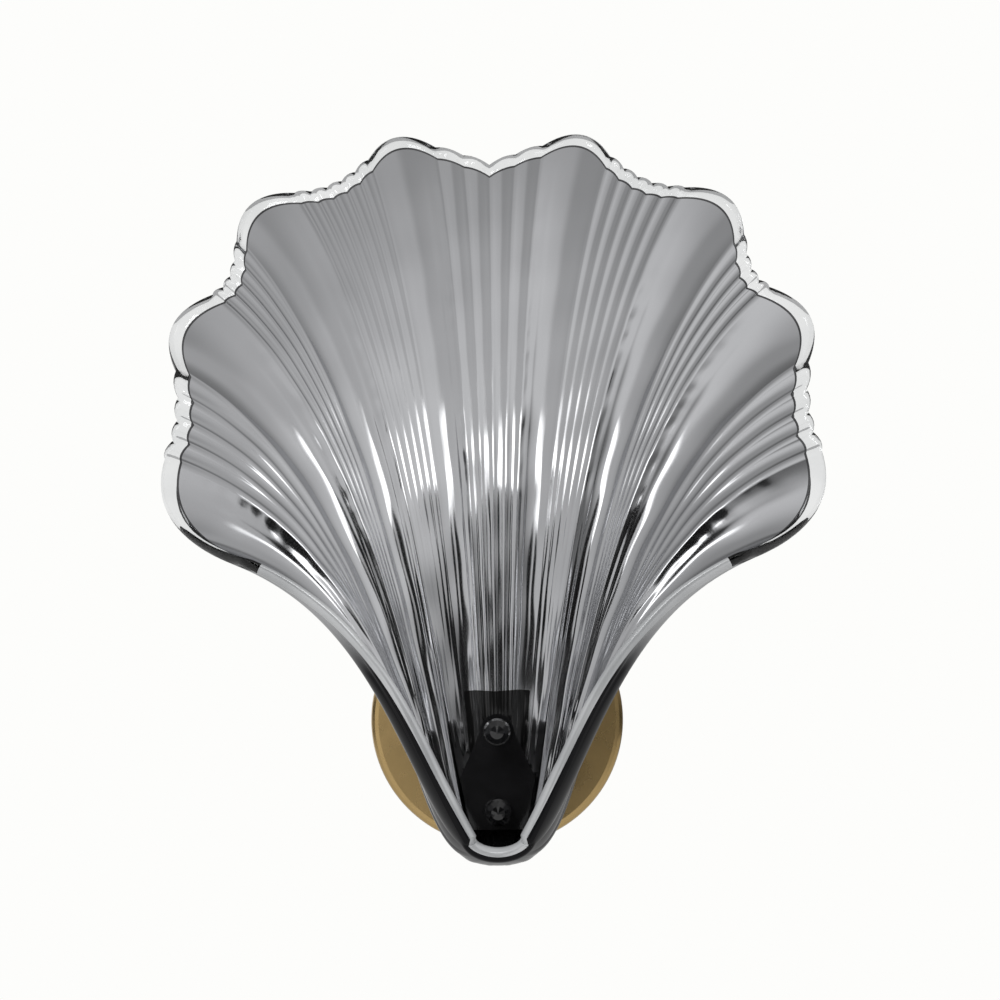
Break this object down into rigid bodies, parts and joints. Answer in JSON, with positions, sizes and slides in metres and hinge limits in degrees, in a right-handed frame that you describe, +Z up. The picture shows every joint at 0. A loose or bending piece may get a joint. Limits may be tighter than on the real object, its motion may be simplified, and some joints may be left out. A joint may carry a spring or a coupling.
{
  "type": "shell wall sconce",
  "caption": "Wall light with a fluted scallop-shell scoop of mirrored smoke glass, clamped on an arm from a round brass canopy.",
  "frame": {"origin": "centre of the wall strap's slotted holes, on its back face, which lies on the wall behind the middle of the round canopy", "axes": "+Y into the wall, so the light stands out towards -Y; +Z up towards the top of the fan; +X to the right for a viewer facing the wall"},
  "size_m": [0.2568, 0.1269, 0.2868],
  "materials": {
    "glass_smoke": "thick pressed glass, polished, with a smoke grey mirror coat that leaves the rim clear",
    "brass_satin": "satin antique brass",
    "brass_polished": "polished brass",
    "black_gloss_metal": "gloss black",
    "zinc_steel": "bright zinc plate",
    "black_rubber": "moulded black rubber",
    "ceramic_white": "glazed white steatite",
    "terminal_plastic": "natural nylon",
    "lead_sleeve": "black silicone sleeve",
    "bulb_glass": "clear quartz glass",
    "bulb_wire": "nickel and tungsten wire"
  },
  "bodies": {
    "fixture": {"glass_shell": "glass_smoke", "canopy": "brass_satin", "arm_tube": "brass_satin", "canopy_nuts": "brass_polished", "canopy_studs": "brass_polished", "earth_screw": "brass_polished", "terminal_screws": "brass_polished", "holder_contacts": "brass_polished", "front_clamp_plate": "black_gloss_metal", "rear_clamp_plate": "black_gloss_metal", "nut_washers": "black_gloss_metal", "wall_strap": "zinc_steel", "centre_rod": "zinc_steel", "rod_washer": "zinc_steel", "rod_nut": "zinc_steel", "lower_stud": "zinc_steel", "stud_nut": "zinc_steel", "lamp_bracket": "zinc_steel", "holder_screw": "zinc_steel", "rear_gasket": "black_rubber", "front_gasket": "black_rubber", "hole_sleeves": "black_rubber", "canopy_grommet": "black_rubber", "lampholder": "ceramic_white", "terminal_block": "terminal_plastic", "lamp_lead": "lead_sleeve"},
    "upper_nut": {"upper_cap_nut": "black_gloss_metal"},
    "lower_nut": {"lower_cap_nut": "black_gloss_metal"},
    "bulb": {"bulb_envelope": "bulb_glass", "bulb_pins": "bulb_wire", "bulb_filament": "bulb_wire"}
  },
  "joints": [
    {"name": "upper_nut_turn", "type": "hinge", "parent": "fixture", "child": "upper_nut", "pos_m": [0, -0.105, 0], "axis": [0, -1, 0], "continuous": true},
    {"name": "lower_nut_turn", "type": "hinge", "parent": "fixture", "child": "lower_nut", "pos_m": [0, -0.105, -0.031], "axis": [0, -1, 0], "continuous": true},
    {"name": "bulb_pull", "type": "slide", "parent": "fixture", "child": "bulb", "axis": [0, 0, 1], "range_m": [0, 0.014]}
  ]
}
